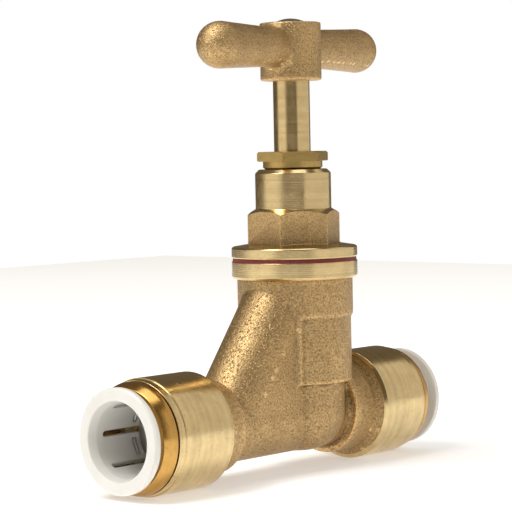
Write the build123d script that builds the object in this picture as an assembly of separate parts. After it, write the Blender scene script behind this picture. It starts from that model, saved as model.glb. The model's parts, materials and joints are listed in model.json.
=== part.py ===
from build123d import *
from math import radians, sin, sqrt, tan
import os

# Straight screw-down stop valve for 15 mm pipe: push-fit sockets on one line, a vertical spindle
# with a crutch (tee) handle, and a loose jumper that closes a horizontal seat.
# Everything is drawn about the point where the pipe axis (X) crosses the spindle axis (Z) and is
# moved, on export, so that the origin is the centre of the pipe stop in the inlet socket.

# ---- driving dimensions, millimetres -------------------------------------------------------
RUN = 0.05                # radial running clearance of shafts in their holes
BREAK = 0.3               # broken edges of turned parts
OVERLAP = 1.0             # how far joined shapes run into each other

# sockets: distances are measured outwards from the pipe stop
PIPE_BORE_R = 7.65        # slides over a 15 mm pipe
DEPTH = 23.4              # pipe stop to the outer face of the collet
INLET_STOP_X = 13.2
OUTLET_STOP_X = -32.6
LOCATING_LENGTH = 3.4     # close bore that holds the pipe's end
SEAL_CAVITY_R = 9.75
SEAL_CAVITY_END = 7.0
CAP_BORE_R = 10.6         # bore in the casting that takes the end cap's skirt
SOCKET_R = 12.06
SOCKET_LIP_R = 11.72
SOCKET_SHOULDER_R = 11.88
SOCKET_END = DEPTH - 5.9
SOCKET_LIP = 1.6          # from the small shoulder to the socket's mouth

# end cap, collet, teeth and seals
CAP_FACE = DEPTH - 2.7
CAP_FACE_R = 10.4
CAP_CONE_R = 11.1         # outer end of the face's taper
CAP_CONE = 1.0
CAP_RIM_R = 11.55
CAP_ROUND = 2.4           # from the face to the full rim
CAP_LIP = 0.6             # depth of the shadow gap under the rim
CAP_GAP = 0.3
CAP_SKIRT = 0.6           # thickness of the skirt at its end
CAP_SKIRT_END = 12.4
CAP_TAPER = 1.3           # length of the inner cone
CAP_HOLE_R = 9.3
COLLET_FLANGE_R = 10.8
COLLET_FLANGE = 1.45
COLLET_STEM_R = 9.0
COLLET_BULGE_R = 9.6
COLLET_END = DEPTH - 14.4
COLLET_MOUTH_R = 8.15
COLLET_MOUTH = 2.0        # length of the mouth's taper
COLLET_BARB = (0.5, 0.8, 2.0, 3.0)     # nose chamfer, its length, end of the barb, end of its back
COLLET_ROUND = 0.35       # corner of the pressing face
COLLET_EDGE = 0.15
INLET_COLLET_OUT = 1.1    # the inlet collet stands this much further out
SLOTS = 7
SLOT_WIDTH = 1.3
SLOT_START = DEPTH - 3.8
SLOT_TURN = 34.5
TOOTH_AT = DEPTH - 12.9
TOOTH_TIP_R = 7.5
TOOTH_SIZE = (1.7, 3.0, 0.5)
TOOTH_LEAN = 25.0
TOOTH_POCKET = (1.1, 3.7, 1.5)
SEAL_SECTION_R = 1.12
SEAL_CENTRE_R = 8.6
SPACER_LENGTH = 1.2

# casting
WATERWAY_R = 6.2
TUBE_R = 8.1
WEB_HALF = 7.95          # half the thickness of the wall between leg and pipe
OUTLET_COLLAR_R = 9.6
OUTLET_COLLAR = (-34.4, -32.6, -28.0)      # shoulder rim, foot of its cone, inner end
INLET_COLLAR_R = 9.4
COLLAR_FILLET = 0.3
INLET_COLLAR = (16.8, 14.9, 8.4)
SLANT_X = -23.4           # where the slanted outlet leg leaves the pipe axis
SLANT_ANGLE = 52.5
LEG_R = 8.0
SLANT_BORE_R = 5.9
LEG_TOP_Z = 21.0          # centre of the leg's upper end, inside the body
LEG_BORE_TOP_Z = 18.2
BOWL_R = 10.4
BOWL_FILLET = 8.6
SHOULDER_Z = 7.0          # underside of the wide part of the body
BODY_R = 12.04
PANEL_X = -8.8            # the shallow panel round the body starts here
BAND_Z = 21.4
BAND_R = 12.5
FLANGE_Z = 29.65
FLANGE_R = 13.6
BODY_TOP_Z = 33.05
THREAD_R = 10.2
THREAD_Z = 25.0
THREAD_LEAD = 0.6         # chamfer at a thread's end
CHAMBER_R = 9.6
CHAMBER_Z = 9.4
SEAT_Z = 11.0
SEAT_BORE_R = 6.35
SEAT_R = 8.0

# headwork
WASHER_R = 13.4
WASHER_TOP_Z = 33.7
HEAD_FLANGE_TOP_Z = 36.2
HEX_Z = 36.9
HEX_TOP_Z = 44.3
HEX_FLATS = 17.8
HEX_TURN = 24.0
HEX_CHAMFER = 30.0
NECK_R = 8.19
NECK_TOP_Z = 52.8
NECK_LIP = 0.85
SKIRT_BORE_R = 7.6
SPINDLE_NUT_Z = 31.0      # underside of the thread that the spindle runs in
SPINDLE_NUT_TOP_Z = 43.4
GLAND_FLOOR_Z = 44.9
GLAND_R = 5.9

# gland
GLAND_WASHER_TOP_Z = 45.5
PACKING_TOP_Z = 48.5
GLAND_COLLAR_R = 6.43
GLAND_COLLAR_Z = 53.2
GLAND_HEX_Z = 54.5
GLAND_TOP_Z = 56.6
GLAND_HEX_FLATS = 13.7

# spindle and jumper
STEM_R = 3.95
STEM_THREAD_R = 5.0
STEM_LOW_R = 4.6
STEM_BOTTOM_Z = 16.1
STEM_THREAD_Z = 24.0
STEM_THREAD_TOP_Z = 36.7
STEM_SHOULDER_Z = 73.5
STEM_TOP_Z = 82.3
STEM_SQUARE = 5.6
JUMPER_ROD_R = 2.95
JUMPER_ROD_TOP_Z = 28.0
GUIDE_CLEARANCE = 0.1
GUIDE_END_GAP = 1.0       # above the guide rod's end
JUMPER_R = 8.2
JUMPER_STUD_R = 1.5
JUMPER_PLATE = (14.0, 16.0)
JUMPER_NUT_Z = 8.8
JUMPER_NUT_FLATS = 7.0

# crutch head
HUB_R = 6.6
HUB_Z = (71.8, 84.3)
ARM_Z = 78.87
ARM_TURN = 7.0
ARM_HALF_LENGTH = 31.6
ARM_ROOT_R = 4.15
ARM_TIP_R = 4.92
ARM_FILLET = 1.6
SCREW_R = 2.0
SCREW_HEAD_R = 3.5
SCREW_HEAD = 0.9
SCREW_END_Z = 76.0
SCREW_SLOT = (0.9, 0.5)   # width and depth


def turned(outline):
    """Solid of revolution about Z from a closed outline of (radius, height) points."""
    points = [(radius, 0, height) for radius, height in outline]
    return revolve(make_face(Polyline(*points, close=True)), Axis.Z)


def rod(radius, low, high):
    """Cylinder about Z between two heights."""
    return Pos(0, 0, (low + high) / 2) * Cylinder(radius, high - low)


def ring(outer, inner, low, high):
    """Plain ring about Z."""
    return rod(outer, low, high) - rod(inner, low, high)


def hexagon(flats, low, high, turn=0.0):
    """Hexagonal prism about Z, with a corner at the angle turn."""
    outline = RegularPolygon(flats / sqrt(3), 6, rotation=turn)
    return Pos(0, 0, low) * extrude(outline, high - low)


def along_x(shape, start, direction):
    """Lay a shape drawn up Z along X, with its foot at x = start, pointing to +X or -X."""
    return Pos(start, 0, 0) * Rot(0, 90 * direction, 0) * shape


# ---- push-fit end, drawn up Z from the pipe stop -------------------------------------------

def end_cap():
    """Brass ring pressed into the socket; its inner cone closes the collet on the pipe."""
    under_rim = SOCKET_END + CAP_GAP
    return turned([
        (CAP_HOLE_R, CAP_FACE), (CAP_FACE_R, CAP_FACE), (CAP_CONE_R, CAP_FACE - CAP_CONE),
        (CAP_RIM_R, CAP_FACE - CAP_ROUND), (CAP_RIM_R, under_rim), (CAP_RIM_R - CAP_LIP, under_rim),
        (CAP_RIM_R - CAP_LIP, SOCKET_END), (CAP_BORE_R, SOCKET_END), (CAP_BORE_R, CAP_SKIRT_END),
        (CAP_BORE_R - CAP_SKIRT, CAP_SKIRT_END), (CAP_HOLE_R, CAP_SKIRT_END + CAP_TAPER),
    ])


def tooth():
    """One leaning steel grip plate, with its tip towards the pipe."""
    length, width, thickness = TOOTH_SIZE
    plate = Box(length, width, thickness, align=(Align.MIN, Align.CENTER, Align.CENTER))
    return Pos(TOOTH_TIP_R, 0, TOOTH_AT) * Rot(0, -TOOTH_LEAN, 0) * plate


def finger_angles():
    """Angles of the middles of the collet's fingers."""
    return [SLOT_TURN + (index + 0.5) * 360 / SLOTS for index in range(SLOTS)]


def collet_teeth():
    """The ring of separate grip plates, one in each finger."""
    return Part() + [Rot(0, 0, angle) * tooth() for angle in finger_angles()]


def collet():
    """Plastic release collar: a pressing flange on a slotted sleeve with barbed fingers."""
    chamfer, nose, barb, back = COLLET_BARB
    under = DEPTH - COLLET_FLANGE
    sleeve = turned([
        (PIPE_BORE_R, COLLET_END), (COLLET_BULGE_R - chamfer, COLLET_END),
        (COLLET_BULGE_R, COLLET_END + nose), (COLLET_BULGE_R, COLLET_END + barb),
        (COLLET_STEM_R, COLLET_END + back), (COLLET_STEM_R, under),
        (COLLET_FLANGE_R - COLLET_EDGE, under), (COLLET_FLANGE_R, under + COLLET_EDGE),
        (COLLET_FLANGE_R, DEPTH - COLLET_ROUND), (COLLET_FLANGE_R - COLLET_ROUND, DEPTH),
        (COLLET_MOUTH_R + COLLET_EDGE, DEPTH), (COLLET_MOUTH_R, DEPTH - COLLET_EDGE),
        (PIPE_BORE_R, DEPTH - COLLET_MOUTH),
    ])
    slot_end = SLOT_START - SLOT_WIDTH / 2
    reach = 4 * SLOT_WIDTH
    slot = Pos(COLLET_STEM_R, 0, slot_end) * (
        Box(reach, SLOT_WIDTH, DEPTH, align=(Align.CENTER, Align.CENTER, Align.MAX))
        + Rot(0, 90, 0) * Cylinder(SLOT_WIDTH / 2, reach)
    )
    for index in range(SLOTS):
        sleeve -= Rot(0, 0, SLOT_TURN + index * 360 / SLOTS) * slot
    pocket = Pos(PIPE_BORE_R, 0, TOOTH_AT) * Box(*TOOTH_POCKET)
    for angle in finger_angles():
        sleeve -= Rot(0, 0, angle) * (pocket + tooth())
    return sleeve


def o_ring():
    """Rubber seal that closes on the outside of the pipe."""
    return Pos(0, 0, LOCATING_LENGTH + SEAL_SECTION_R) * Torus(SEAL_CENTRE_R, SEAL_SECTION_R)


def spacer_ring():
    """Plastic washer that keeps the collet off the seal."""
    return ring(SEAL_CAVITY_R, PIPE_BORE_R, SEAL_CAVITY_END - SPACER_LENGTH, SEAL_CAVITY_END)


def socket_bore():
    """Everything cut from the casting at one socket."""
    return (
        rod(PIPE_BORE_R, 0, LOCATING_LENGTH)
        + rod(SEAL_CAVITY_R, LOCATING_LENGTH, SEAL_CAVITY_END)
        + rod(CAP_BORE_R, SEAL_CAVITY_END, DEPTH)
    )


def socket_outside(rim, foot, inner, collar_r):
    """Outside of one socket and its collar, given as distances from the pipe stop."""
    outside = turned([
        (0, inner), (collar_r, inner), (collar_r, foot), (SOCKET_R, rim),
        (SOCKET_R, SOCKET_END - SOCKET_LIP), (SOCKET_SHOULDER_R, SOCKET_END - SOCKET_LIP),
        (SOCKET_LIP_R, SOCKET_END), (0, SOCKET_END),
    ])
    circles = outside.edges().filter_by(GeomType.CIRCLE)
    valley = circles.filter_by(lambda edge: abs(edge.center().Z - foot) < 0.01)
    return fillet(valley, COLLAR_FILLET)


# ---- casting -------------------------------------------------------------------------------

def round_ended(radius, length, round_foot=False):
    """Rod up Z from the origin with a ball top and, if asked, a ball foot."""
    bulge = radius * sin(radians(45))
    outline = [
        Line((radius, 0, 0), (radius, 0, length)),
        ThreePointArc((radius, 0, length), (bulge, 0, length + bulge), (0, 0, length + radius)),
    ]
    if round_foot:
        outline += [
            Line((0, 0, length + radius), (0, 0, -radius)),
            ThreePointArc((0, 0, -radius), (bulge, 0, -bulge), (radius, 0, 0)),
        ]
    else:
        outline += [Line((0, 0, length + radius), (0, 0, 0)), Line((0, 0, 0), (radius, 0, 0))]
    return revolve(make_face(outline), Axis.Z)


def slanted_leg(radius, top_z, round_foot=False):
    """Round leg from the pipe axis up to a height inside the body."""
    leg = round_ended(radius, top_z / sin(radians(SLANT_ANGLE)), round_foot)
    return Pos(SLANT_X, 0, 0) * Rot(0, 90 - SLANT_ANGLE, 0) * leg


def web():
    """Thick wall that fills the corner between the slanted leg, the pipe and the body."""
    top = LEG_TOP_Z + LEG_R
    top_x = SLANT_X + top / tan(radians(SLANT_ANGLE))
    outline = Polyline((SLANT_X, 0, 0), (0, 0, 0), (0, 0, top), (top_x, 0, top), close=True)
    return extrude(make_face(outline), WEB_HALF, dir=(0, 1, 0), both=True)


def body_outside():
    """Outer surface of the casting."""
    upright = turned([
        (0, SHOULDER_Z), (BAND_R, SHOULDER_Z), (BAND_R, FLANGE_Z), (FLANGE_R - BREAK, FLANGE_Z),
        (FLANGE_R, FLANGE_Z + BREAK), (FLANGE_R, BODY_TOP_Z), (0, BODY_TOP_Z),
    ])
    reach = 2 * BAND_R
    upright -= ring(reach, BODY_R, SHOULDER_Z, BAND_Z) & Pos(PANEL_X, 0, 0) * Box(
        reach, 2 * reach, 2 * BODY_TOP_Z, align=(Align.MIN, Align.CENTER, Align.CENTER)
    )
    bowl = rod(BOWL_R, -TUBE_R, SHOULDER_Z)
    bowl = fillet(bowl.edges().group_by(Axis.Z)[0], BOWL_FILLET)
    tube = along_x(rod(TUBE_R, OUTLET_COLLAR[2] - OVERLAP, INLET_COLLAR[2] + OVERLAP), 0, 1)
    rim, foot, inner = (OUTLET_STOP_X - x for x in OUTLET_COLLAR)
    outlet = along_x(socket_outside(rim, foot, inner, OUTLET_COLLAR_R), OUTLET_STOP_X, -1)
    rim, foot, inner = (x - INLET_STOP_X for x in INLET_COLLAR)
    inlet = along_x(socket_outside(rim, foot, inner, INLET_COLLAR_R), INLET_STOP_X, 1)
    return upright + bowl + web() + tube + slanted_leg(LEG_R, LEG_TOP_Z) + outlet + inlet


def chamber():
    """Upright bore: headwork thread, chamber, raised seat ring and the hole through the seat."""
    return turned([
        (0, 0), (SEAT_BORE_R, 0), (SEAT_BORE_R, SEAT_Z), (SEAT_R, SEAT_Z), (SEAT_R, CHAMBER_Z),
        (CHAMBER_R, CHAMBER_Z), (CHAMBER_R, THREAD_Z), (THREAD_R, THREAD_Z), (THREAD_R, BODY_TOP_Z),
        (0, BODY_TOP_Z),
    ])


def valve_body():
    """Brass casting with both sockets, the seat and the bore for the headwork."""
    body = body_outside()
    body -= slanted_leg(SLANT_BORE_R, LEG_BORE_TOP_Z, round_foot=True)
    body -= along_x(socket_bore(), OUTLET_STOP_X, -1)
    body -= along_x(rod(WATERWAY_R, 0, SLANT_X - OUTLET_STOP_X), OUTLET_STOP_X, 1)
    body -= along_x(socket_bore(), INLET_STOP_X, 1)
    body -= along_x(round_ended(WATERWAY_R, INLET_STOP_X), INLET_STOP_X, -1)
    return body - chamber()


# ---- headwork and gland --------------------------------------------------------------------

def headwork():
    """Screwed-in bonnet: hexagon, neck, thread for the spindle and chamber for the gland."""
    thread_r = THREAD_R - RUN
    turned_part = turned([
        (0, THREAD_Z), (thread_r - THREAD_LEAD, THREAD_Z), (thread_r, THREAD_Z + THREAD_LEAD),
        (thread_r, WASHER_TOP_Z),
        (FLANGE_R - BREAK, WASHER_TOP_Z), (FLANGE_R, WASHER_TOP_Z + BREAK),
        (FLANGE_R, HEAD_FLANGE_TOP_Z - BREAK), (FLANGE_R - BREAK, HEAD_FLANGE_TOP_Z),
        (HEX_FLATS / 2, HEX_Z), (NECK_R, HEX_Z),
        (NECK_R, NECK_TOP_Z - NECK_LIP), (NECK_R - NECK_LIP, NECK_TOP_Z), (0, NECK_TOP_Z),
    ])
    corner = HEX_FLATS / sqrt(3)
    drop = (corner - NECK_R) * tan(radians(HEX_CHAMFER))
    foot = HEX_Z - OVERLAP
    crown = turned([
        (0, foot), (corner, foot), (corner, HEX_TOP_Z - drop), (NECK_R, HEX_TOP_Z), (0, HEX_TOP_Z),
    ])
    nut = hexagon(HEX_FLATS, foot, HEX_TOP_Z, HEX_TURN) & crown
    hollow = (
        rod(SKIRT_BORE_R, THREAD_Z, SPINDLE_NUT_Z)
        + rod(STEM_THREAD_R + RUN, SPINDLE_NUT_Z, SPINDLE_NUT_TOP_Z)
        + rod(STEM_R + RUN, SPINDLE_NUT_TOP_Z, GLAND_FLOOR_Z)
        + rod(GLAND_R, GLAND_FLOOR_Z, NECK_TOP_Z)
    )
    return turned_part + nut - hollow


def headwork_washer():
    """Red fibre washer between the casting and the headwork."""
    return ring(WASHER_R, THREAD_R, BODY_TOP_Z, WASHER_TOP_Z)


def gland_washer():
    """Thin brass washer under the packing."""
    return ring(GLAND_R, STEM_R + RUN, GLAND_FLOOR_Z, GLAND_WASHER_TOP_Z)


def gland_packing():
    """Packing pressed round the spindle."""
    return ring(GLAND_R, STEM_R + RUN, GLAND_WASHER_TOP_Z, PACKING_TOP_Z)


def gland_nut():
    """Nut that presses the packing, with a collar and a low hexagon."""
    collar = turned([
        (0, PACKING_TOP_Z), (GLAND_R, PACKING_TOP_Z), (GLAND_R, NECK_TOP_Z),
        (GLAND_COLLAR_R, GLAND_COLLAR_Z), (GLAND_COLLAR_R, GLAND_HEX_Z), (0, GLAND_HEX_Z),
    ])
    corner = GLAND_HEX_FLATS / sqrt(3)
    crown = turned([
        (0, GLAND_HEX_Z), (corner - BREAK, GLAND_HEX_Z), (corner, GLAND_HEX_Z + BREAK / 2),
        (corner, GLAND_TOP_Z - BREAK), (corner - 2 * BREAK, GLAND_TOP_Z), (0, GLAND_TOP_Z),
    ])
    nut = hexagon(GLAND_HEX_FLATS, GLAND_HEX_Z, GLAND_TOP_Z, HEX_TURN) & crown
    return collar + nut - rod(STEM_R + RUN, PACKING_TOP_Z, GLAND_TOP_Z)


# ---- spindle, handle and jumper ------------------------------------------------------------

def square(low, high):
    """Square prism of the spindle's top, about Z."""
    return Pos(0, 0, (low + high) / 2) * Box(STEM_SQUARE, STEM_SQUARE, high - low)


def spindle():
    """Brass spindle: threaded low down, plain through the gland, square in the handle."""
    shaft = turned([
        (0, STEM_BOTTOM_Z), (STEM_LOW_R, STEM_BOTTOM_Z), (STEM_LOW_R, STEM_THREAD_Z - THREAD_LEAD),
        (STEM_THREAD_R, STEM_THREAD_Z), (STEM_THREAD_R, STEM_THREAD_TOP_Z - THREAD_LEAD),
        (STEM_R, STEM_THREAD_TOP_Z), (STEM_R, STEM_SHOULDER_Z), (0, STEM_SHOULDER_Z),
    ])
    guide_hole = rod(JUMPER_ROD_R + GUIDE_CLEARANCE, STEM_BOTTOM_Z, JUMPER_ROD_TOP_Z + GUIDE_END_GAP)
    screw_hole = rod(SCREW_R, SCREW_END_Z, STEM_TOP_Z)
    return shaft + square(STEM_SHOULDER_Z, STEM_TOP_Z) - guide_hole - screw_hole


def arm():
    """One handle arm along +X, swelling towards a round end."""
    tip_centre = ARM_HALF_LENGTH - ARM_TIP_R
    return Rot(0, 90, 0) * turned([
        (0, 0), (ARM_ROOT_R, 0), (ARM_ROOT_R, HUB_R), (ARM_TIP_R, tip_centre), (0, tip_centre),
    ]) + Pos(tip_centre, 0, 0) * Sphere(ARM_TIP_R)


def crutch_head():
    """Cast tee handle with a round hub."""
    low, high = HUB_Z
    arms = Pos(0, 0, ARM_Z) * Rot(0, 0, ARM_TURN) * (arm() + Rot(0, 0, 180) * arm())
    head = rod(HUB_R, low, high) + arms
    seam = head.edges().filter_by(GeomType.BSPLINE)
    head = fillet(seam, ARM_FILLET) if seam else head
    holes = (
        rod(STEM_R + RUN, low, STEM_SHOULDER_Z)
        + square(STEM_SHOULDER_Z, STEM_TOP_Z)
        + rod(SCREW_R + GUIDE_CLEARANCE, STEM_TOP_Z, high)
    )
    return head - holes


def handle_screw():
    """Slotted domed screw that holds the handle on the spindle."""
    high = HUB_Z[1]
    width, depth = SCREW_SLOT
    dome_r = (SCREW_HEAD_R ** 2 + SCREW_HEAD ** 2) / (2 * SCREW_HEAD)
    top = high + SCREW_HEAD
    dome = Pos(0, 0, top - dome_r) * Sphere(dome_r) & rod(SCREW_HEAD_R, high, top)
    slot = Rot(0, 0, ARM_TURN) * Pos(0, 0, top) * Box(width, 3 * SCREW_HEAD_R, 2 * depth)
    return rod(SCREW_R, SCREW_END_Z, high) + dome - slot


def jumper_valve():
    """Loose brass plate with a guide rod that runs up inside the spindle."""
    low, high = JUMPER_PLATE
    plate = turned([(0, low), (JUMPER_R, low), (JUMPER_R, high - BREAK), (JUMPER_R - BREAK, high),
                    (0, high)])
    return plate + rod(JUMPER_ROD_R, high, JUMPER_ROD_TOP_Z) + rod(JUMPER_STUD_R, JUMPER_NUT_Z, low)


def jumper_washer():
    """Rubber disc that closes the seat."""
    return ring(JUMPER_R, JUMPER_STUD_R, SEAT_Z, JUMPER_PLATE[0])


def jumper_nut():
    """Small nut under the rubber disc."""
    return hexagon(JUMPER_NUT_FLATS, JUMPER_NUT_Z, SEAT_Z) - rod(JUMPER_STUD_R, JUMPER_NUT_Z, SEAT_Z)


# ---- nodes ---------------------------------------------------------------------------------

nodes = {
    "valve_body": valve_body(),
    "headwork": headwork(),
    "headwork_washer": headwork_washer(),
    "gland_washer": gland_washer(),
    "gland_packing": gland_packing(),
    "gland_nut": gland_nut(),
    "spindle": spindle(),
    "crutch_head": crutch_head(),
    "handle_screw": handle_screw(),
    "jumper_valve": jumper_valve(),
    "jumper_washer": jumper_washer(),
    "jumper_nut": jumper_nut(),
}
for side, stop_x, direction in (("outlet", OUTLET_STOP_X, -1), ("inlet", INLET_STOP_X, 1)):
    for name, make in (
        ("end_cap", end_cap), ("collet", collet), ("collet_teeth", collet_teeth), ("o_ring", o_ring),
        ("spacer_ring", spacer_ring),
    ):
        out = INLET_COLLET_OUT if side == "inlet" and "collet" in name else 0
        nodes[f"{side}_{name}"] = along_x(Pos(0, 0, out) * make(), stop_x, direction)

os.makedirs("parts", exist_ok=True)
for name, shape in nodes.items():
    export_step(Pos(-INLET_STOP_X, 0, 0) * shape, f"parts/{name}.step")
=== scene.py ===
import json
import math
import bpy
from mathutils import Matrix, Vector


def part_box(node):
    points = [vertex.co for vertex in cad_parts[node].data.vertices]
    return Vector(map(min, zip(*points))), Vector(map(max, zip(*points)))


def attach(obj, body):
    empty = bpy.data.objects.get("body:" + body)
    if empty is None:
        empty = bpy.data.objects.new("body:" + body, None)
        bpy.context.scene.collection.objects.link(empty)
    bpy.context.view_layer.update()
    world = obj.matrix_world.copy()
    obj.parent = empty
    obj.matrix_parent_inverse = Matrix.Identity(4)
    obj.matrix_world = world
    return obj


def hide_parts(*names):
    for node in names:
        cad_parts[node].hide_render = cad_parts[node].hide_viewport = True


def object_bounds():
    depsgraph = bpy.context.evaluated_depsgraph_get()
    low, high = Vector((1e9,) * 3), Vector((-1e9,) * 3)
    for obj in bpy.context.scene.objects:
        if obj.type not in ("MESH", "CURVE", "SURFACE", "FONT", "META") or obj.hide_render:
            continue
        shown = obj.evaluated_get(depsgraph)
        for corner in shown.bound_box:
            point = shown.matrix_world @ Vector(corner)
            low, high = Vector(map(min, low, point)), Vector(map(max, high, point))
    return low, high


bl_info = {
    "name": "Push-fit stop valve",
    "version": (1, 0, 0),
    "blender": (4, 5, 0),
    "location": "View3D > Sidebar > Stop valve",
    "description": "Builds a brass push-fit stop valve with a crutch head around its CAD frame",
    "category": "Add Mesh",
}

import bmesh
import bpy
from bpy.props import FloatProperty, FloatVectorProperty, PointerProperty
from mathutils import Matrix, Vector

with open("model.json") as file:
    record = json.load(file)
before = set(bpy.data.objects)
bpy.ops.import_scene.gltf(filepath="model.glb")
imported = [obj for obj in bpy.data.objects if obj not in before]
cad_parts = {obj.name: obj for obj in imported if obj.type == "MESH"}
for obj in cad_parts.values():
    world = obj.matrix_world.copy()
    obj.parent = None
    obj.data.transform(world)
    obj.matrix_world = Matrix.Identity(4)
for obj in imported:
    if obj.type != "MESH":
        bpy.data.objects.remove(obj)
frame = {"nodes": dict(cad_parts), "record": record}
CAD_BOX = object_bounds()

MM = 0.001
STEPS = 160               # facets round a turned surface
X_AXIS = Vector((1, 0, 0))
Z_AXIS = Vector((0, 0, 1))
WHITE = (1.0, 1.0, 1.0, 1.0)


# ---- places taken from the frame -----------------------------------------------------------

def node_middle(node, axis):
    """Middle of a CAD node along one axis, in metres."""
    low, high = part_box(node)
    return (low[axis] + high[axis]) / 2


SPINDLE_X = node_middle("spindle", 0)
MOUNTS = {mount["name"]: mount for mount in frame["record"]["mounts"]}
ENDS = {
    "outlet": (MOUNTS["outlet_socket"]["pos_m"][0], -1),
    "inlet": (MOUNTS["inlet_socket"]["pos_m"][0], 1),
}
BORE_R = MOUNTS["inlet_socket"]["dims"]["r_mm"]
LOCATING_LENGTH = MOUNTS["inlet_socket"]["dims"]["length_mm"]


# ---- shapes that the frame doesn't hold ----------------------------------------------------
# In millimetres. Heights run up from the pipe axis, and depths run out along a pipe from its stop.

CAST_TOP = 29.5                        # the casting ends a little way into the turned flange
CAST_OVERLAP = 0.1                     # and this far past the rim of each turned socket
SOCKET_RIM = {"outlet": 1.8, "inlet": 3.6}
SOCKET_R = 12.06
SOCKET_LIP_R = 11.72
SOCKET_END = 17.5
CAP_BORE_R = 10.6
SEAL_R = 9.75
SEAL_END = 7.0

COLLAR = {"outlet": (-4.6, -0.2), "inlet": (-4.8, 1.5)}        # depths of its two ends
COLLAR_R = 9.85
COLLAR_HOLE_R = 8.6

CAP_R = 11.55
CAP_SEAT_R = 10.95
CAP_HOLE_R = 9.3
CAP_FACE = 20.7
CAP_FOOT = 12.4

FLANGE_R = 13.6
FLANGE_HOLE_R = 10.2
BODY_FLANGE = (29.35, 33.05)
HEAD_FLANGE = (33.7, 36.2)
FLANGE_BREAK = 0.3

HEX_TURN = math.radians(24)            # both hexagons stand at the same angle
HEX_FLATS = 17.8
HEX = (35.9, 44.3)
HEX_CHAMFER = math.radians(30)
HEX_HOLE_R = 6.5                       # any radius inside the neck's wall
NECK_R = 8.19
NECK_FOOT = 36.9
SHOULDER_R = 8.9
NECK_TOP = 52.8
NECK_CHAMFER = 0.85
HEAD_FOOT = 25.0
HEAD_THREAD_R = 5.05
HEAD_THREAD_TOP = 43.4
GLAND_R = 5.9
GLAND_FLOOR = 44.9
STEM_HOLE_R = 4.0

GLAND_FOOT = 48.5
GLAND_COLLAR_R = 6.43
GLAND_COLLAR_FOOT = 53.2
GLAND_FLATS = 13.7
GLAND_HEX = (54.5, 56.6)

STEM_R = 3.95
STEM_TOP = 73.5
THREAD_R = 5.0
THREAD = (24.0, 36.1)
SPINDLE_FOOT_R = 4.6
SPINDLE_FOOT = 16.1
JUMPER_HOLE_R = 3.05
JUMPER_HOLE_TOP = 29.0
SPINDLE_HOLE_R = 2.0

HEAD_VOXEL = 0.26 * MM                 # cell size in which the crutch head is rounded
HEAD_ROUNDS = 5                        # smoothing rounds of the crutch head
BODY_ROUNDS = 1
FINE_EDGE = 0.1 * MM
EDGE_ANGLE = math.radians(28)
EDGE_SEGMENTS = 3
FORGED_SLOT = 1                        # material slot of the unmachined hexagon


# ---- sizes and colours that a user would change --------------------------------------------

def linear(hex_colour):
    """Linear colour, with full alpha, from an sRGB hex value."""
    channels = [int(hex_colour[index:index + 2], 16) / 255 for index in (1, 3, 5)]
    curve = [c / 12.92 if c <= 0.04045 else ((c + 0.055) / 1.055) ** 2.4 for c in channels]
    return (*curve, 1.0)


def colour_property(name, description, hex_colour):
    """Colour setting with its default given as an sRGB hex value."""
    return FloatVectorProperty(
        name=name, description=description, subtype="COLOR", size=4, min=0, max=1, default=linear(hex_colour)
    )


class StopValveSizes(bpy.types.PropertyGroup):
    """Sizes of the finish, which the frame doesn't hold."""

    cast_grain: FloatProperty(
        name="Cast grain", description="Size of the grains that the sand leaves on the castings",
        default=0.42 * MM, min=0.1 * MM, max=2 * MM, unit="LENGTH",
    )
    tool_mark: FloatProperty(
        name="Tool mark", description="Spacing of the lathe's tool marks on turned brass",
        default=0.16 * MM, min=0.05 * MM, max=1 * MM, unit="LENGTH",
    )
    cast_voxel: FloatProperty(
        name="Casting detail", description="Cell size in which the body casting is rounded",
        default=0.36 * MM, min=0.3 * MM, max=1 * MM, unit="LENGTH",
    )
    edge_break: FloatProperty(
        name="Edge break", description="Width of the broken edges on turned parts",
        default=0.14 * MM, min=0.02 * MM, max=0.5 * MM, unit="LENGTH",
    )


class StopValveColours(bpy.types.PropertyGroup):
    """Colours of the finishes."""

    cast_brass: colour_property("Cast brass", "Face of the sand-cast brass", "#C9AA79")
    cast_shade: colour_property("Cast brass, dull", "Tarnished and pitted patches of the casting", "#665643")
    turned_brass: colour_property("Turned brass", "Machined brass", "#DFC896")
    cap_brass: colour_property("End cap brass", "Machined brass of the end caps", "#D0A45C")
    forged_brass: colour_property("Forged brass", "Unmachined hexagons", "#BFA468")
    fibre: colour_property("Fibre", "Sealing washer", "#7E1F28")
    collet: colour_property("Collet", "Release collar", "#E9E8E3")
    steel: colour_property("Steel", "Grip teeth", "#B4B6BA")
    rubber: colour_property("Rubber", "Seals", "#1C1C1C")
    floor: colour_property("Floor", "Studio floor", "#F6F6F6")


def sizes():
    return bpy.context.scene.stop_valve_sizes


def colours():
    return bpy.context.scene.stop_valve_colours


# ---- mesh helpers --------------------------------------------------------------------------

def clean(bm, distance=1e-7):
    """Merge doubles and point the faces outwards."""
    bmesh.ops.remove_doubles(bm, verts=bm.verts, dist=distance)
    bmesh.ops.recalc_face_normals(bm, faces=bm.faces)


def link_mesh(name, bm):
    """New object from a finished bmesh in metres."""
    mesh = bpy.data.meshes.new(name)
    bm.to_mesh(mesh)
    bm.free()
    piece = bpy.data.objects.new(name, mesh)
    bpy.context.scene.collection.objects.link(piece)
    return piece


def add_object(name, bm, place):
    """New object from a bmesh in its own units, with its place in its mesh."""
    bmesh.ops.transform(bm, matrix=place, verts=bm.verts)
    clean(bm)
    return link_mesh(name, bm)


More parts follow.
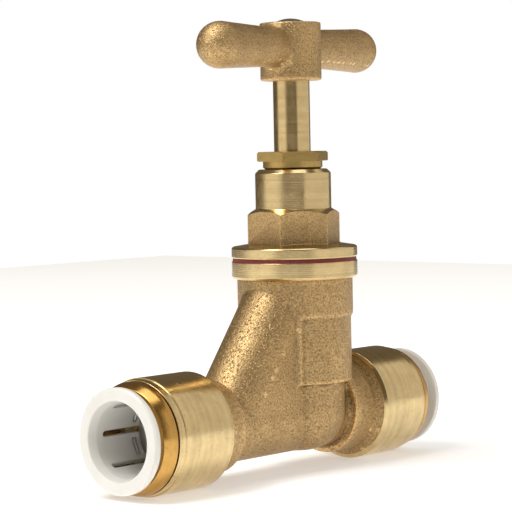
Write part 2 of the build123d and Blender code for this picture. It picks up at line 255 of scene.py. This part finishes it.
def turned(name, outline, place):
    """Piece spun about Z from a closed outline of (radius, height) points, in millimetres."""
    bm = bmesh.new()
    profile = [bm.verts.new((radius, 0, height)) for radius, height in outline]
    edges = [bm.edges.new(pair) for pair in zip(profile, profile[1:] + profile[:1])]
    bmesh.ops.spin(
        bm, geom=profile + edges, cent=(0, 0, 0), axis=Z_AXIS, dvec=(0, 0, 0), angle=math.tau,
        steps=STEPS, use_merge=True,
    )
    bmesh.ops.remove_doubles(bm, verts=bm.verts, dist=1e-5)
    return add_object(name, bm, place)


def hexagon(name, flats, heights):
    """Hexagonal prism about the spindle axis, in millimetres, before its corners are turned off."""
    low, high = heights
    bm = bmesh.new()
    corner = flats / math.sqrt(3)
    turn = Matrix.Rotation(HEX_TURN + math.radians(30), 4, "Z")
    bmesh.ops.create_cone(
        bm, cap_ends=True, segments=6, radius1=corner, radius2=corner, depth=high - low,
        matrix=Matrix.Translation((0, 0, (low + high) / 2)) @ turn,
    )
    return add_object(name, bm, on_spindle())


def on_spindle():
    """Matrix from millimetres about the spindle axis to the frame."""
    return Matrix.Translation((SPINDLE_X, 0, 0)) @ Matrix.Scale(MM, 4)


def on_pipe(end):
    """Matrix from millimetres outwards from one pipe stop to the frame."""
    stop_x, direction = ENDS[end]
    turn = Matrix.Rotation(math.radians(90 * direction), 4, "Y")
    return Matrix.Translation((stop_x, 0, 0)) @ turn @ Matrix.Scale(MM, 4)


def apply_modifiers(piece):
    """Replace a piece's mesh with its finished shape."""
    graph = bpy.context.evaluated_depsgraph_get()
    old = piece.data
    piece.data = bpy.data.meshes.new_from_object(piece.evaluated_get(graph))
    piece.data.name = old.name
    piece.modifiers.clear()
    bpy.data.meshes.remove(old)


def combine(piece, other, operation):
    """Boolean of two closed pieces; the second one is used up."""
    boolean = piece.modifiers.new("Boolean", "BOOLEAN")
    boolean.operation = operation
    boolean.solver = "EXACT"
    boolean.object = other
    apply_modifiers(piece)
    bpy.data.objects.remove(other)
    if not piece.data.polygons:
        raise RuntimeError(f"{piece.name}: the boolean left nothing")


def break_edges(piece, width):
    """Small rounded edges wherever two surfaces meet at an angle."""
    bevel = piece.modifiers.new("Edges", "BEVEL")
    bevel.width = width
    bevel.segments = EDGE_SEGMENTS
    bevel.profile = 0.5
    bevel.limit_method = "ANGLE"
    bevel.angle_limit = EDGE_ANGLE
    bevel.harden_normals = True
    piece.data.shade_smooth()
    apply_modifiers(piece)


def give(piece, *materials):
    """Set the piece's material slots."""
    piece.data.materials.clear()
    for material in materials:
        piece.data.materials.append(material)


def dress(piece, body, slot, *nodes):
    """Give a finished piece its body and hide the CAD nodes it stands for; the slot argument is not used."""
    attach(piece, body)
    if nodes:
        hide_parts(*nodes)


def cast_copy(name, node, voxel, rounds, cuts=()):
    """Copy of a CAD node with its sharp corners run together as metal fills a mould.

    cuts lists planes, as (point, outward direction), past which the copy is cut away."""
    bm = bmesh.new()
    bm.from_mesh(frame["nodes"][node].data)
    clean(bm)
    for point, direction in cuts:
        cut = bmesh.ops.bisect_plane(
            bm, geom=bm.verts[:] + bm.edges[:] + bm.faces[:], plane_co=point, plane_no=direction,
            dist=1e-7, clear_outer=True,
        )
        rim = [item for item in cut["geom_cut"] if isinstance(item, bmesh.types.BMEdge)]
        bmesh.ops.bridge_loops(bm, edges=rim)
    if any(not edge.is_manifold for edge in bm.edges):
        raise RuntimeError(f"{name}: the copy isn't closed")
    piece = link_mesh(name, bm)
    remesh = piece.modifiers.new("Remesh", "REMESH")
    remesh.mode = "VOXEL"
    remesh.voxel_size = voxel
    apply_modifiers(piece)
    bm = bmesh.new()
    bm.from_mesh(piece.data)
    for _ in range(rounds):
        bmesh.ops.smooth_vert(
            bm, verts=bm.verts, factor=0.5, use_axis_x=True, use_axis_y=True, use_axis_z=True
        )
    bm.to_mesh(piece.data)
    bm.free()
    piece.data.shade_smooth()
    return piece


# ---- materials -----------------------------------------------------------------------------

MIX_A, MIX_B, MIX_RESULT = 6, 7, 2     # colour sockets of the Mix node


def feed(tree, node, inputs):
    """Set a node's inputs; each is a value or the socket that feeds it."""
    for key, value in inputs.items():
        if isinstance(value, bpy.types.NodeSocket):
            tree.links.new(value, node.inputs[key])
        else:
            node.inputs[key].default_value = value


def add_node(tree, kind, inputs=None, **settings):
    """Add a node with its settings and inputs."""
    made = tree.nodes.new(kind)
    for name, value in settings.items():
        setattr(made, name, value)
    feed(tree, made, inputs or {})
    return made


def noise(tree, place, cell, detail, roughness=0.5):
    """Noise in space; cell is the size of its lumps in metres."""
    return add_node(
        tree, "ShaderNodeTexNoise",
        {"Vector": place, "Scale": 1 / cell, "Detail": detail, "Roughness": roughness},
    ).outputs["Fac"]


def line_noise(tree, along, cell, detail, roughness=0.5):
    """Noise along one line; cell is the size of its lumps in metres."""
    return add_node(
        tree, "ShaderNodeTexNoise",
        {"W": along, "Scale": 1 / cell, "Detail": detail, "Roughness": roughness},
        noise_dimensions="1D",
    ).outputs["Fac"]


def ramp(tree, factor, low, high, colour_low, colour_high):
    """Colour ramp between two positions."""
    made = add_node(tree, "ShaderNodeValToRGB", {"Fac": factor})
    first, last = made.color_ramp.elements
    first.position, first.color = low, colour_low
    last.position, last.color = high, colour_high
    return made.outputs["Color"]


def remap(tree, value, low, high, at_low=0.0, at_high=1.0, **settings):
    """Value taken from one range to another and held at its ends."""
    return add_node(
        tree, "ShaderNodeMapRange",
        {"Value": value, "From Min": low, "From Max": high, "To Min": at_low, "To Max": at_high},
        **settings,
    ).outputs["Result"]


def maths(tree, operation, first, second):
    """Sum or product of two values."""
    return add_node(tree, "ShaderNodeMath", {0: first, 1: second}, operation=operation).outputs[0]


def multiply(tree, colour, other, factor=1.0):
    """One colour darkened by another."""
    return add_node(
        tree, "ShaderNodeMix", {"Factor": factor, MIX_A: colour, MIX_B: other},
        data_type="RGBA", blend_type="MULTIPLY",
    ).outputs[MIX_RESULT]


def bump(tree, height, strength, depth, **normal):
    """Relief of a depth in metres, on top of another one when Normal is given."""
    return add_node(
        tree, "ShaderNodeBump", {"Height": height, "Strength": strength, "Distance": depth, **normal}
    ).outputs["Normal"]


def shade(colour, amount):
    """Colour scaled in brightness, with full alpha."""
    return (*[min(1.0, channel * amount) for channel in colour[:3]], 1.0)


def finish(name, build, **settings):
    """The material of this name, built on its first use from Object coordinates."""
    material = bpy.data.materials.get(name)
    if material is None:
        material = bpy.data.materials.new(name)
        material.use_nodes = True
        tree = material.node_tree
        place = add_node(tree, "ShaderNodeTexCoord").outputs["Object"]
        feed(tree, tree.nodes["Principled BSDF"], build(tree, place, **settings))
    return material


def cast_skin(tree, place, grain_scale=1.0):
    """Sand-cast brass: a gritty, slightly tarnished skin that scatters its highlights.

    Pointiness paints a highlight on its convex corners and painted shade in its hollows and creases."""
    grain = sizes().cast_grain * grain_scale
    face = colours().cast_brass
    tarnish = noise(tree, place, 7 * MM, 4.0, 0.6)
    skin = ramp(tree, tarnish, 0.32, 0.68, shade(face, 0.86), shade(face, 1.05))
    grit = noise(tree, place, grain, 5.0, 0.68)
    speck = ramp(tree, grit, 0.36, 0.58, tuple(colours().cast_shade), WHITE)
    speckled = multiply(tree, skin, speck, 0.6)
    # painted light: pointiness scales the colour, a painted highlight on convex edges and painted shade in
    # hollows and creases
    corners = add_node(tree, "ShaderNodeNewGeometry").outputs["Pointiness"]
    painted_edge_highlight_and_crease_shade = remap(tree, corners, 0.44, 0.56, 0.35, 1.65)
    speckled_with_painted_edge_light = add_node(tree, "ShaderNodeVectorMath", {0: speckled, "Scale": painted_edge_highlight_and_crease_shade}, operation="SCALE")
    pits = add_node(
        tree, "ShaderNodeTexVoronoi", {"Vector": place, "Scale": 1 / (1.3 * grain), "Randomness": 1.0}
    )
    pit_depth = remap(tree, pits.outputs["Distance"], 0.05, 0.4)
    swell = noise(tree, place, 2.6 * MM, 2.0)
    rolling = bump(tree, swell, 0.3, 0.28 * MM)
    return {
        "Base Color": speckled_with_painted_edge_light.outputs[0],
        "Normal": bump(tree, maths(tree, "ADD", grit, pit_depth), 0.95, 0.12 * MM, Normal=rolling),
        "Roughness": remap(tree, grit, 0.3, 0.7, 0.5, 0.36),
        "Metallic": 1.0,
    }


def turned_skin(tree, place, axis, centre, colour=None, roughness=0.18, marks=1.0):
    """Lathe-turned brass: fine rings about its axis that stretch the reflections, and a few pits.

    axis is 0 for a part turned about the pipe axis and 2 for one turned about the spindle."""
    base = tuple(colour or colours().turned_brass)
    centred = add_node(
        tree, "ShaderNodeMapping", {"Vector": place, "Location": Vector(centre) * -1}, vector_type="POINT"
    )
    split = add_node(tree, "ShaderNodeSeparateXYZ", {"Vector": centred.outputs[0]})
    first, second = [index for index in range(3) if index != axis]
    flat = add_node(tree, "ShaderNodeCombineXYZ", {"X": split.outputs[first], "Y": split.outputs[second]})
    radius = add_node(tree, "ShaderNodeVectorMath", {0: flat.outputs[0]}, operation="LENGTH")
    along = maths(tree, "ADD", split.outputs[axis], radius.outputs["Value"])
    fine = line_noise(tree, along, sizes().tool_mark, 3.0, 0.6)
    bands = line_noise(tree, along, 1.3 * MM, 2.0)
    wear = noise(tree, place, 3.5 * MM, 5.0, 0.62)
    pocks = noise(tree, place, 0.45 * MM, 2.0)
    stain = ramp(tree, wear, 0.28, 0.62, shade(base, 0.84), shade(base, 1.02))
    streak = ramp(tree, bands, 0.3, 0.7, (0.9, 0.88, 0.85, 1.0), WHITE)
    pock = ramp(tree, pocks, 0.27, 0.34, (0.55, 0.5, 0.45, 1.0), WHITE)
    rings = bump(tree, fine, 0.35 * marks, 0.02 * MM)
    return {
        "Base Color": multiply(tree, multiply(tree, stain, streak), pock, 0.8),
        "Normal": bump(tree, wear, 0.1, 0.12 * MM, Normal=rings),
        "Roughness": remap(tree, wear, 0.3, 0.7, roughness + 0.1, roughness - 0.04),
        "Metallic": 1.0,
    }


def moulded_skin(tree, place):
    """Moulded acetal collet: bright, faintly warm, satin, with light passing a little way in."""
    white = colours().collet
    mottle = noise(tree, place, 5 * MM, 3.0)
    orange_peel = noise(tree, place, 0.25 * MM, 2.0)
    return {
        "Base Color": ramp(tree, mottle, 0.3, 0.7, shade(white, 0.95), shade(white, 1.0)),
        "Normal": bump(tree, orange_peel, 0.2, 0.02 * MM),
        "Roughness": 0.36,
        "IOR": 1.48,
        "Subsurface Weight": 0.35,
        "Subsurface Radius": (1.0, 0.9, 0.8),
        "Subsurface Scale": 1.2 * MM,
    }


def fibre_skin(tree, place):
    """Vulcanised fibre washer: dull, dark red, with a fibrous edge."""
    red = colours().fibre
    strands = noise(tree, place, 0.5 * MM, 5.0, 0.7)
    return {
        "Base Color": ramp(tree, strands, 0.3, 0.7, shade(red, 0.55), shade(red, 1.15)),
        "Normal": bump(tree, strands, 0.5, 0.06 * MM),
        "Roughness": 0.62,
        "IOR": 1.5,
    }


def steel_skin(tree, place):
    """Stainless steel of the grip teeth and the screw: grey, with a rolled grain."""
    grey = colours().steel
    stretch = add_node(
        tree, "ShaderNodeMapping", {"Vector": place, "Scale": (0.15, 1.0, 1.0)}, vector_type="POINT"
    )
    grain = noise(tree, stretch.outputs[0], 0.12 * MM, 3.0)
    return {
        "Base Color": ramp(tree, grain, 0.3, 0.7, shade(grey, 0.8), shade(grey, 1.05)),
        "Normal": bump(tree, grain, 0.2, 0.01 * MM),
        "Roughness": 0.3,
        "Metallic": 1.0,
    }


def rubber_skin(tree, place):
    """EPDM rubber of the seals: black and matt, with a moulded bloom."""
    black = colours().rubber
    bloom = noise(tree, place, 0.8 * MM, 4.0)
    return {
        "Base Color": ramp(tree, bloom, 0.3, 0.7, shade(black, 0.7), shade(black, 1.6)),
        "Normal": bump(tree, bloom, 0.3, 0.03 * MM),
        "Roughness": 0.55,
        "IOR": 1.52,
    }


def paper_skin(tree, place):
    """Matt paper sweep: nearly white and even, with a faint glow that lifts its shadows."""
    pulp = noise(tree, place, 25 * MM, 2.0)
    white = tuple(colours().floor)
    return {
        "Base Color": ramp(tree, pulp, 0.3, 0.7, shade(white, 0.985), white),
        "Roughness": 0.9,
        "Emission Color": white,
        "Emission Strength": 0.42,
    }


def cast_brass():
    return finish("cast brass, as moulded in sand", cast_skin)


def handle_brass():
    return finish("cast brass, tumbled handle", cast_skin, grain_scale=0.8)


def forged_brass():
    return finish("brass, forged hexagon", cast_skin, grain_scale=0.8)


def brass_about_spindle(name, **settings):
    return finish(name, turned_skin, axis=2, centre=(SPINDLE_X, 0, 0), **settings)


def brass_about_pipe(name, **settings):
    return finish(name, turned_skin, axis=0, centre=(0, 0, 0), **settings)


def spindle_brass():
    return brass_about_spindle("brass, turned about the spindle")


def stem_brass():
    return brass_about_spindle("brass, turned and polished stem", roughness=0.16, marks=1.2)


def bar_brass():
    return brass_about_spindle("brass, drawn hexagon bar", colour=colours().forged_brass, roughness=0.3)


def pipe_brass():
    return brass_about_pipe("brass, turned about the pipe", marks=0.8)


def cap_brass():
    return brass_about_pipe("brass, turned end cap", colour=colours().cap_brass, roughness=0.2)


def white_plastic():
    return finish("acetal, moulded satin", moulded_skin)


def red_fibre():
    return finish("vulcanised fibre, cut edge", fibre_skin)


def strip_steel():
    return finish("stainless steel, rolled strip", steel_skin)


def seal_rubber():
    return finish("EPDM rubber, moulded", rubber_skin)


def studio_paper():
    return finish("paper, matt white", paper_skin)


# ---- pieces --------------------------------------------------------------------------------

class STOPVALVE_OT_casting(bpy.types.Operator):
    """Cast body: upright, slanted leg, web, bowl and collars, with its waterways"""

    bl_idname = "stopvalve.casting"
    bl_label = "Cast body"

    def execute(self, context):
        brass = cast_brass()
        cuts = []
        for end, (stop_x, direction) in ENDS.items():
            depth = (SOCKET_RIM[end] + CAST_OVERLAP) * MM
            cuts.append(((stop_x + direction * depth, 0, 0), X_AXIS * direction))
        cuts.append(((0, 0, CAST_TOP * MM), Z_AXIS))
        body = cast_copy("cast_body", "valve_body", sizes().cast_voxel, BODY_ROUNDS, cuts)
        give(body, brass)
        dress(body, "valve", "cast_brass", "valve_body")
        for end, (inner, outer) in COLLAR.items():
            collar = turned(f"{end}_collar", [
                (COLLAR_HOLE_R, inner), (COLLAR_R - 0.35, inner), (COLLAR_R - 0.1, inner + 0.2),
                (COLLAR_R, inner + 0.6), (COLLAR_R, inner + 2.4), (COLLAR_R, outer - 1.6),
                (COLLAR_R, outer - 0.5), (COLLAR_R - 0.05, outer - 0.2), (COLLAR_R - 0.25, outer),
                (COLLAR_HOLE_R, outer),
            ], on_pipe(end))
            give(collar, brass)
            dress(collar, "valve", "cast_brass")
        return {"FINISHED"}


class STOPVALVE_OT_sockets(bpy.types.Operator):
    """Turned sockets at both ends and the turned flange at the top of the casting"""

    bl_idname = "stopvalve.sockets"
    bl_label = "Turned sockets"

    def execute(self, context):
        seal_start = LOCATING_LENGTH + 0.3
        for end, rim in SOCKET_RIM.items():
            socket = turned(f"{end}_socket", [
                (BORE_R, rim - 0.6), (SOCKET_R - 0.66, rim - 0.6), (SOCKET_R, rim),
                (SOCKET_R, SOCKET_END - 1.6), (SOCKET_R - 0.18, SOCKET_END - 1.62),
                (SOCKET_LIP_R, SOCKET_END), (CAP_BORE_R, SOCKET_END), (CAP_BORE_R, SEAL_END),
                (SEAL_R, SEAL_END), (SEAL_R, seal_start), (BORE_R, seal_start),
            ], on_pipe(end))
            break_edges(socket, sizes().edge_break)
            give(socket, pipe_brass())
            dress(socket, "valve", "turned_brass")
        low, high = BODY_FLANGE
        flange = turned("body_flange", [
            (FLANGE_HOLE_R, low), (FLANGE_R - 0.4, low), (FLANGE_R, low + 0.45), (FLANGE_R, high),
            (FLANGE_HOLE_R, high),
        ], on_spindle())
        break_edges(flange, sizes().edge_break)
        give(flange, spindle_brass())
        dress(flange, "valve", "turned_brass")
        return {"FINISHED"}


class STOPVALVE_OT_headwork(bpy.types.Operator):
    """Headwork with its flange, hexagon and neck, and the fibre washer under it"""

    bl_idname = "stopvalve.headwork"
    bl_label = "Headwork"

    def execute(self, context):
        low, high = HEAD_FLANGE
        shell = turned("headwork_finished", [
            (HEAD_THREAD_R, HEAD_FOOT), (FLANGE_HOLE_R - 0.6, HEAD_FOOT), (FLANGE_HOLE_R, HEAD_FOOT + 0.6),
            (FLANGE_HOLE_R, low), (FLANGE_R - FLANGE_BREAK, low), (FLANGE_R, low + FLANGE_BREAK),
            (FLANGE_R, high - FLANGE_BREAK), (FLANGE_R - FLANGE_BREAK, high),
            (SHOULDER_R, NECK_FOOT), (NECK_R, NECK_FOOT), (NECK_R, NECK_TOP - NECK_CHAMFER),
            (NECK_R - NECK_CHAMFER, NECK_TOP), (GLAND_R, NECK_TOP), (GLAND_R, GLAND_FLOOR),
            (STEM_HOLE_R, GLAND_FLOOR), (STEM_HOLE_R, HEAD_THREAD_TOP), (HEAD_THREAD_R, HEAD_THREAD_TOP),
        ], on_spindle())
        nut = hexagon("headwork_hexagon", HEX_FLATS, HEX)
        low, high = HEX
        corner = HEX_FLATS / math.sqrt(3)
        outside = corner + 0.01
        drop = (corner - NECK_R) * math.tan(HEX_CHAMFER)
        crown = turned("crown", [
            (HEX_HOLE_R, low), (outside, low), (outside, high - drop), (NECK_R, high), (HEX_HOLE_R, high),
        ], on_spindle())
        combine(nut, crown, "INTERSECT")
        combine(shell, nut, "UNION")
        break_edges(shell, sizes().edge_break)
        give(shell, spindle_brass(), forged_brass())
        bottom = HEAD_FLANGE[1] * MM
        top = (HEX[1] + 0.2) * MM
        side = (NECK_R + 0.06) * MM
        for face in shell.data.polygons:
            out = Vector((face.center.x - SPINDLE_X, face.center.y, 0)).length
            upright = abs(face.normal.z) < 0.35
            on_hexagon = bottom < face.center.z < top and out > side and upright
            face.material_index = FORGED_SLOT if on_hexagon else 0
        dress(shell, "valve", "turned_brass", "headwork")
        give(frame["nodes"]["headwork_washer"], red_fibre())
        return {"FINISHED"}


class STOPVALVE_OT_gland_nut(bpy.types.Operator):
    """Gland nut with its collar and low hexagon"""

    bl_idname = "stopvalve.gland_nut"
    bl_label = "Gland nut"

    def execute(self, context):
        low, high = GLAND_HEX
        collar_top = low + 0.1
        collar = turned("gland_nut_finished", [
            (STEM_HOLE_R, GLAND_FOOT), (GLAND_R, GLAND_FOOT), (GLAND_R, NECK_TOP),
            (GLAND_COLLAR_R, GLAND_COLLAR_FOOT), (GLAND_COLLAR_R, collar_top), (STEM_HOLE_R, collar_top),
        ], on_spindle())
        nut = hexagon("gland_hexagon", GLAND_FLATS, GLAND_HEX)
        corner = GLAND_FLATS / math.sqrt(3)
        outside = corner + 0.02
        crown = turned("gland_crown", [
            (STEM_HOLE_R, low), (corner - 0.35, low), (outside, low + 0.2), (outside, high - 0.4),
            (corner - 0.6, high), (STEM_HOLE_R + 0.6, high), (STEM_HOLE_R, high - 0.3),
        ], on_spindle())
        combine(nut, crown, "INTERSECT")
        combine(collar, nut, "UNION")
        break_edges(collar, FINE_EDGE)
        give(collar, bar_brass())
        dress(collar, "valve", "turned_brass", "gland_nut")
        return {"FINISHED"}


class STOPVALVE_OT_spindle(bpy.types.Operator):
    """Plain turned stem with its threaded foot"""

    bl_idname = "stopvalve.spindle"
    bl_label = "Spindle"

    def execute(self, context):
        low, high = THREAD
        stem = turned("spindle_finished", [
            (JUMPER_HOLE_R, SPINDLE_FOOT), (SPINDLE_FOOT_R, SPINDLE_FOOT), (SPINDLE_FOOT_R, low - 0.4),
            (THREAD_R, low), (THREAD_R, high), (STEM_R, high + 0.6), (STEM_R, STEM_TOP),
            (SPINDLE_HOLE_R, STEM_TOP), (SPINDLE_HOLE_R, JUMPER_HOLE_TOP), (JUMPER_HOLE_R, JUMPER_HOLE_TOP),
        ], on_spindle())
        break_edges(stem, FINE_EDGE)
        give(stem, stem_brass())
        dress(stem, "handle", "turned_brass", "spindle")
        return {"FINISHED"}


class STOPVALVE_OT_crutch_head(bpy.types.Operator):
    """Cast tee handle and the screw that holds it"""

    bl_idname = "stopvalve.crutch_head"
    bl_label = "Crutch head"

    def execute(self, context):
        head = cast_copy("crutch_head_finished", "crutch_head", HEAD_VOXEL, HEAD_ROUNDS)
        give(head, handle_brass())
        dress(head, "handle", "cast_brass", "crutch_head")
        give(frame["nodes"]["handle_screw"], strip_steel())
        return {"FINISHED"}


class STOPVALVE_OT_push_fit_ends(bpy.types.Operator):
    """End caps, collets and their teeth"""

    bl_idname = "stopvalve.push_fit_ends"
    bl_label = "Push-fit ends"

    def execute(self, context):
        for end in ENDS:
            cap = turned(f"{end}_end_cap_finished", [
                (CAP_HOLE_R, CAP_FACE), (10.4, CAP_FACE), (11.1, CAP_FACE - 1.0), (11.4, CAP_FACE - 1.75),
                (CAP_R, CAP_FACE - 2.4), (CAP_R, SOCKET_END + 0.3), (CAP_SEAT_R, SOCKET_END + 0.3),
                (CAP_SEAT_R, SOCKET_END), (CAP_BORE_R, SOCKET_END), (CAP_BORE_R, CAP_FOOT),
                (10.0, CAP_FOOT), (CAP_HOLE_R, CAP_FOOT + 1.3),
            ], on_pipe(end))
            break_edges(cap, FINE_EDGE)
            give(cap, cap_brass())
            dress(cap, "valve", "turned_brass", f"{end}_end_cap")
            give(frame["nodes"][f"{end}_collet"], white_plastic())
            give(frame["nodes"][f"{end}_collet_teeth"], strip_steel())
            give(frame["nodes"][f"{end}_spacer_ring"], white_plastic())
        return {"FINISHED"}


class STOPVALVE_OT_inner_parts(bpy.types.Operator):
    """Finishes of the parts inside: jumper, washers, packing and seals"""

    bl_idname = "stopvalve.inner_parts"
    bl_label = "Inner parts"

    def execute(self, context):
        for node in ("jumper_washer", "gland_packing", "outlet_o_ring", "inlet_o_ring"):
            give(frame["nodes"][node], seal_rubber())
        for node in ("jumper_valve", "jumper_nut", "gland_washer"):
            give(frame["nodes"][node], spindle_brass())
        return {"FINISHED"}


# ---- stage ---------------------------------------------------------------------------------

CAMERA_AIM = Vector((-3.6, 7.9, 34.0)) * MM    # from the crossing of the pipe and spindle axes
CAMERA_DISTANCE = 472 * MM
CAMERA_LENS = 152.4
CAMERA_AZIMUTH = math.radians(-49.13)
CAMERA_ELEVATION = math.radians(2.97)
CAMERA_ROLL = math.radians(-1.154)
LIGHT_AIM = 30 * MM       # height at which the lamps point
STAGE_SIZE = 1.3
ROOM_LIGHT = 0.15
ROOM_TINT = "#FFE8C6"
PANEL_TINT = "#FFFBF4"
PANELS = (                # left and right headings, sine of the top's elevation, edge softness, strength
    (33, 139, 0.8, 0.03, 0.62),
    (-98, -38, 0.9, 0.2, 0.78),
)


def add_camera():
    """Long-lens camera, level with the valve and a little off its end."""
    back = Vector((
        math.sin(CAMERA_AZIMUTH) * math.cos(CAMERA_ELEVATION),
        -math.cos(CAMERA_AZIMUTH) * math.cos(CAMERA_ELEVATION),
        math.sin(CAMERA_ELEVATION),
    ))
    right = Vector((math.cos(CAMERA_AZIMUTH), math.sin(CAMERA_AZIMUTH), 0))
    up = back.cross(right)
    rolled_right = right * math.cos(CAMERA_ROLL) + up * math.sin(CAMERA_ROLL)
    rolled_up = up * math.cos(CAMERA_ROLL) - right * math.sin(CAMERA_ROLL)
    camera = bpy.data.objects.new("camera", bpy.data.cameras.new("camera"))
    camera.data.lens = CAMERA_LENS
    camera.data.sensor_width = 36
    camera.data.clip_start = 0.01
    turn = Matrix((rolled_right, rolled_up, back)).transposed().to_4x4()
    aim = Vector((SPINDLE_X, 0, 0)) + CAMERA_AIM
    camera.matrix_world = Matrix.Translation(aim + back * CAMERA_DISTANCE) @ turn
    bpy.context.scene.collection.objects.link(camera)
    bpy.context.scene.camera = camera


def heading(around):
    """Level unit vector at an angle in degrees to the right of the camera, seen from the valve."""
    angle = CAMERA_AZIMUTH + math.radians(around)
    return Vector((math.sin(angle), -math.cos(angle), 0))


def add_softbox(name, around, height, distance, size, power):
    """Square area light at two angles in degrees: around, to the camera's right, and height, upwards."""
    rise = math.radians(height)
    out = heading(around) * math.cos(rise) + Z_AXIS * math.sin(rise)
    lamp = bpy.data.lights.new(name, "AREA")
    lamp.shape = "RECTANGLE"
    lamp.size = size
    lamp.size_y = size
    lamp.energy = power
    box = bpy.data.objects.new(name, lamp)
    box.location = Vector((SPINDLE_X, 0, LIGHT_AIM)) + out * distance
    box.rotation_euler = out.to_track_quat("Z", "Y").to_euler()
    bpy.context.scene.collection.objects.link(box)


def panel_light(tree, direction, left, right, top, edge):
    """1 where the surroundings show a tall light panel between two headings, and 0 elsewhere."""
    amount = 1.0
    for side in (heading(left + 90), heading(right - 90)):
        facing = add_node(tree, "ShaderNodeVectorMath", {0: direction, 1: side}, operation="DOT_PRODUCT")
        mask = remap(tree, facing.outputs["Value"], -edge, edge, interpolation_type="SMOOTHSTEP")
        amount = maths(tree, "MULTIPLY", amount, mask)
    split = add_node(tree, "ShaderNodeSeparateXYZ", {"Vector": direction})
    mask = remap(tree, split.outputs["Z"], top + edge, top - edge, interpolation_type="SMOOTHSTEP")
    return maths(tree, "MULTIPLY", amount, mask)


def add_world():
    """Studio round the valve: a broad panel on the right, a soft one on the left, dim between them."""
    world = bpy.data.worlds.new("studio")
    world.use_nodes = True
    tree = world.node_tree
    tree.nodes.clear()
    direction = add_node(tree, "ShaderNodeTexCoord").outputs["Generated"]
    room = add_node(tree, "ShaderNodeBackground", {"Color": linear(ROOM_TINT), "Strength": ROOM_LIGHT})
    for left, right, top, edge, strength in PANELS:
        glow = maths(tree, "MULTIPLY", panel_light(tree, direction, left, right, top, edge), strength)
        panel = add_node(tree, "ShaderNodeBackground", {"Color": linear(PANEL_TINT), "Strength": glow})
        room = add_node(tree, "ShaderNodeAddShader", {0: room.outputs[0], 1: panel.outputs[0]})
    seen = add_node(tree, "ShaderNodeBackground", {"Color": WHITE, "Strength": 1.0})
    path = add_node(tree, "ShaderNodeLightPath")
    mix = add_node(
        tree, "ShaderNodeMixShader",
        {0: path.outputs["Is Camera Ray"], 1: room.outputs[0], 2: seen.outputs[0]},
    )
    add_node(tree, "ShaderNodeOutputWorld", {"Surface": mix.outputs[0]})
    bpy.context.scene.world = world


class STOPVALVE_OT_stage(bpy.types.Operator):
    """Floor, lights, surroundings and camera"""

    bl_idname = "stopvalve.stage"
    bl_label = "Stage"

    def execute(self, context):
        bm = bmesh.new()
        bmesh.ops.create_grid(bm, x_segments=1, y_segments=1, size=STAGE_SIZE / 2)
        floor = add_object("floor", bm, Matrix.Translation((SPINDLE_X, 0, CAD_BOX[0][2])))
        give(floor, studio_paper())
        add_softbox("key", around=-60, height=58, distance=1.0, size=0.5, power=6)
        add_softbox("top", around=0, height=90, distance=1.1, size=0.7, power=3)
        add_world()
        add_camera()
        context.scene.view_settings.view_transform = "Standard"
        return {"FINISHED"}


# ---- panel, registration and run -----------------------------------------------------------

OPERATORS = (
    STOPVALVE_OT_casting,
    STOPVALVE_OT_sockets,
    STOPVALVE_OT_headwork,
    STOPVALVE_OT_gland_nut,
    STOPVALVE_OT_spindle,
    STOPVALVE_OT_crutch_head,
    STOPVALVE_OT_push_fit_ends,
    STOPVALVE_OT_inner_parts,
    STOPVALVE_OT_stage,
)


class STOPVALVE_PT_panel(bpy.types.Panel):
    """Buttons for the pieces and settings for the finish"""

    bl_idname = "STOPVALVE_PT_panel"
    bl_label = "Stop valve"
    bl_space_type = "VIEW_3D"
    bl_region_type = "UI"
    bl_category = "Stop valve"

    def draw(self, context):
        column = self.layout.column(align=True)
        for operator in OPERATORS:
            column.operator(operator.bl_idname)
        for group in (context.scene.stop_valve_sizes, context.scene.stop_valve_colours):
            for name in group.__annotations__:
                self.layout.prop(group, name)


CLASSES = (StopValveSizes, StopValveColours, *OPERATORS, STOPVALVE_PT_panel)


def register():
    for cls in CLASSES:
        bpy.utils.register_class(cls)
    bpy.types.Scene.stop_valve_sizes = PointerProperty(type=StopValveSizes)
    bpy.types.Scene.stop_valve_colours = PointerProperty(type=StopValveColours)


def unregister():
    del bpy.types.Scene.stop_valve_colours
    del bpy.types.Scene.stop_valve_sizes
    for cls in reversed(CLASSES):
        bpy.utils.unregister_class(cls)


def main():
    """Build every piece and the stage."""
    register()
    for operator in OPERATORS:
        group, name = operator.bl_idname.split(".")
        getattr(getattr(bpy.ops, group), name)()


if __name__ == "__main__":
    main()
